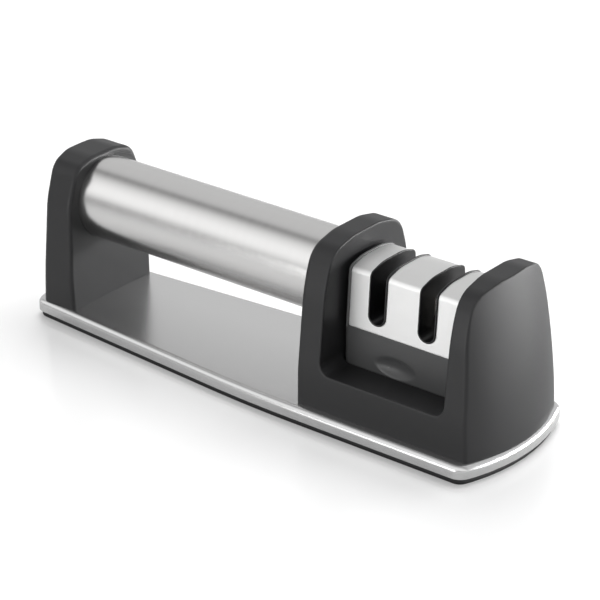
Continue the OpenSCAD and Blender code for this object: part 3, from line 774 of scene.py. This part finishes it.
first_x = TUBE_X + TUBE_EDGE_R
step_x = (TUBE_END_X - TUBE_X - 2 * TUBE_EDGE_R) / TUBE_STEPS
profile = [(TUBE_X, TUBE_R - TUBE_T, 0, -1), (TUBE_X, TUBE_R - TUBE_EDGE_R, -1, 0)]
profile += [(first_x + step_x * k, TUBE_R, 0, 1) for k in range(TUBE_STEPS + 1)]
profile += [(TUBE_END_X, TUBE_R - TUBE_EDGE_R, 1, 0), (TUBE_END_X, TUBE_R - TUBE_T, 0, -1)]
turn = [2 * math.pi * k / TUBE_SIDES for k in range(TUBE_SIDES)]
vertices = [(x, r * math.cos(a), AXIS_Z + r * math.sin(a)) for x, r, _, _ in profile for a in turn]
normals = [(along, out * math.cos(a), out * math.sin(a))
           for _, _, along, out in profile for a in turn]
count = len(profile)
faces = [(j * TUBE_SIDES + k, j * TUBE_SIDES + (k + 1) % TUBE_SIDES,
          (j + 1) % count * TUBE_SIDES + (k + 1) % TUBE_SIDES, (j + 1) % count * TUBE_SIDES + k)
         for j in range(count) for k in range(TUBE_SIDES)]
piece("tube_of_handle", vertices, faces, normals, "frame", "tube_steel", ["handle_tube"], TUBE)

# CAD nodes that stay as they are get a finished material
carried = {
    CORE: ["base_core", "rear_tube_plug", "head_tube_plug", "blade_holder", "blade_clamp",
           "rod_holder"],
    CARRIER: ["cartridge_bottom"],
    SCREW: ["post_screws", "head_screws", "screw_washers", "cartridge_screws", "clamp_screws"],
    CARBIDE: ["rear_carbide_blade", "front_carbide_blade"],
    CERAMIC: ["rear_ceramic_rod", "front_ceramic_rod"],
}
for material, names in carried.items():
    for name in names:
        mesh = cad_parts[name].data
        mesh.materials.clear()
        mesh.materials.append(material)

# Floor. What the camera sees of it is lifted towards white, more so far off, where the light of
# the lamps falls away: levels at two distances.

FLOOR_HALF = 6.0
FLOOR_CELLS = 8
FLOOR_DISTANCES = (0.6, 2.6)
FLOOR_LEVELS = (0.28, 0.78)

floor_mesh = bpy.data.meshes.new("studio_floor")
form = bmesh.new()
bmesh.ops.create_grid(form, x_segments=FLOOR_CELLS, y_segments=FLOOR_CELLS, size=FLOOR_HALF)
form.to_mesh(floor_mesh)
form.free()
floor = bpy.data.objects.new("studio_floor", floor_mesh)
bpy.context.scene.collection.objects.link(floor)

white = surface("white_floor", [0.72, 0.72, 0.72], 0.18, scale=6, vary=0.01, bump=0, tint=0)
floor_mesh.materials.append(white)
tree = white.node_tree
path = tree.nodes.new("ShaderNodeLightPath").outputs
distance = tree.nodes.new("ShaderNodeVectorMath")
distance.operation = "LENGTH"
feed(tree, distance.inputs[0], tree.nodes.new("ShaderNodeTexCoord").outputs["Object"])
level = mapped(tree, distance.outputs["Value"], FLOOR_DISTANCES, FLOOR_LEVELS)
glow = tree.nodes.new("ShaderNodeEmission")
glow.inputs["Color"].default_value = (1, 1, 1, 1)
feed(tree, glow.inputs["Strength"], worked_out(tree, "MULTIPLY", path["Is Camera Ray"], level))
both = tree.nodes.new("ShaderNodeAddShader")
feed(tree, both.inputs[0], tree.nodes["Principled BSDF"].outputs[0])
feed(tree, both.inputs[1], glow.outputs[0])
output = next(n for n in tree.nodes if n.type == "OUTPUT_MATERIAL")
feed(tree, output.inputs["Surface"], both.outputs[0])

# World: white where it is seen, even for scattered light, and in reflections a room whose level
# goes by the angle about the handle, in degrees from overhead, negative to the back

EVEN_LEVEL = 0.34
ROOM = [(-90, 0.66), (-58, 0.73), (-20, 0.73), (-9, 0.67), (-2, 0.33), (4, 0.33), (12, 0.63),
        (24, 1.00), (42, 1.28), (60, 1.30), (72, 0.98), (80, 0.50), (90, 0.40)]


def grey(level):
    return level, level, level, 1


world = bpy.data.worlds.new("studio")
bpy.context.scene.world = world
world.use_nodes = True
tree = world.node_tree
path = tree.nodes.new("ShaderNodeLightPath").outputs
split = tree.nodes.new("ShaderNodeSeparateXYZ")
feed(tree, split.inputs[0], tree.nodes.new("ShaderNodeTexCoord").outputs["Generated"])
to_front = worked_out(tree, "MULTIPLY", split.outputs["Y"], -1.0)
angle = worked_out(tree, "ARCTAN2", to_front, split.outputs["Z"])
room = tree.nodes.new("ShaderNodeValToRGB")
feed(tree, room.inputs["Fac"], mapped(tree, angle, (-math.pi / 2, math.pi / 2), (0, 1)))
stops = room.color_ramp.elements
while len(stops) < len(ROOM):
    stops.new(0.5)
for stop, (degrees, level) in zip(stops, ROOM):
    stop.position = degrees / 180 + 0.5
    stop.color = grey(level)
reflected = blended(tree, path["Is Glossy Ray"], grey(EVEN_LEVEL), room.outputs["Color"])
seen = worked_out(tree, "MAXIMUM", path["Is Camera Ray"], path["Is Transmission Ray"])
feed(tree, tree.nodes["Background"].inputs["Color"], blended(tree, seen, reflected, grey(1)))

# Lamps: place, aim, size, power and whether reflections show them

LAMPS = {
    "overhead": ((-0.1, 0.55, 1.15), (0, 0, 0.03), (1.2, 0.9), 17, False),
    "front": ((-0.25, -1.3, 0.14), (0.02, 0, 0.03), (0.9, 0.25), 3.4, True),
    "right": ((1.15, 0.75, 0.16), (0.09, 0, 0.05), (0.9, 0.25), 10, True),
    "back": ((0.65, 1.1, 0.12), (0.09, 0, 0.045), (0.8, 0.2), 7, True),
}
for name, (place, aim, size, power, glossy) in LAMPS.items():
    light = bpy.data.lights.new(name, "AREA")
    light.shape = "RECTANGLE"
    light.size, light.size_y = size
    light.energy = power
    lamp = bpy.data.objects.new(name, light)
    lamp.location = place
    lamp.rotation_euler = (Vector(aim) - Vector(place)).to_track_quat("-Z", "Y").to_euler()
    lamp.visible_glossy = glossy
    bpy.context.scene.collection.objects.link(lamp)

# Camera, as it was fitted to the photograph: its place, and its axes to the right and back

CAMERA_PLACE = (0.48081, -0.60076, 0.39523)
CAMERA_RIGHT = (0.78467, 0.61991, 0.00085)
CAMERA_BACK = (0.55874, -0.70783, 0.43219)
CAMERA_LENS = 153.95
CAMERA_SENSOR = 36.0
CAMERA_REACH = 50

camera_data = bpy.data.cameras.new("camera")
camera_data.lens = CAMERA_LENS
camera_data.sensor_width = CAMERA_SENSOR
camera_data.clip_end = CAMERA_REACH
camera = bpy.data.objects.new("camera", camera_data)
back = Vector(CAMERA_BACK).normalized()
up = back.cross(Vector(CAMERA_RIGHT).normalized()).normalized()
axes = Matrix((up.cross(back), up, back)).transposed().to_4x4()
camera.matrix_world = Matrix.Translation(CAMERA_PLACE) @ axes
bpy.context.scene.collection.objects.link(camera)
bpy.context.scene.camera = camera

bpy.context.scene.view_settings.view_transform = "Standard"
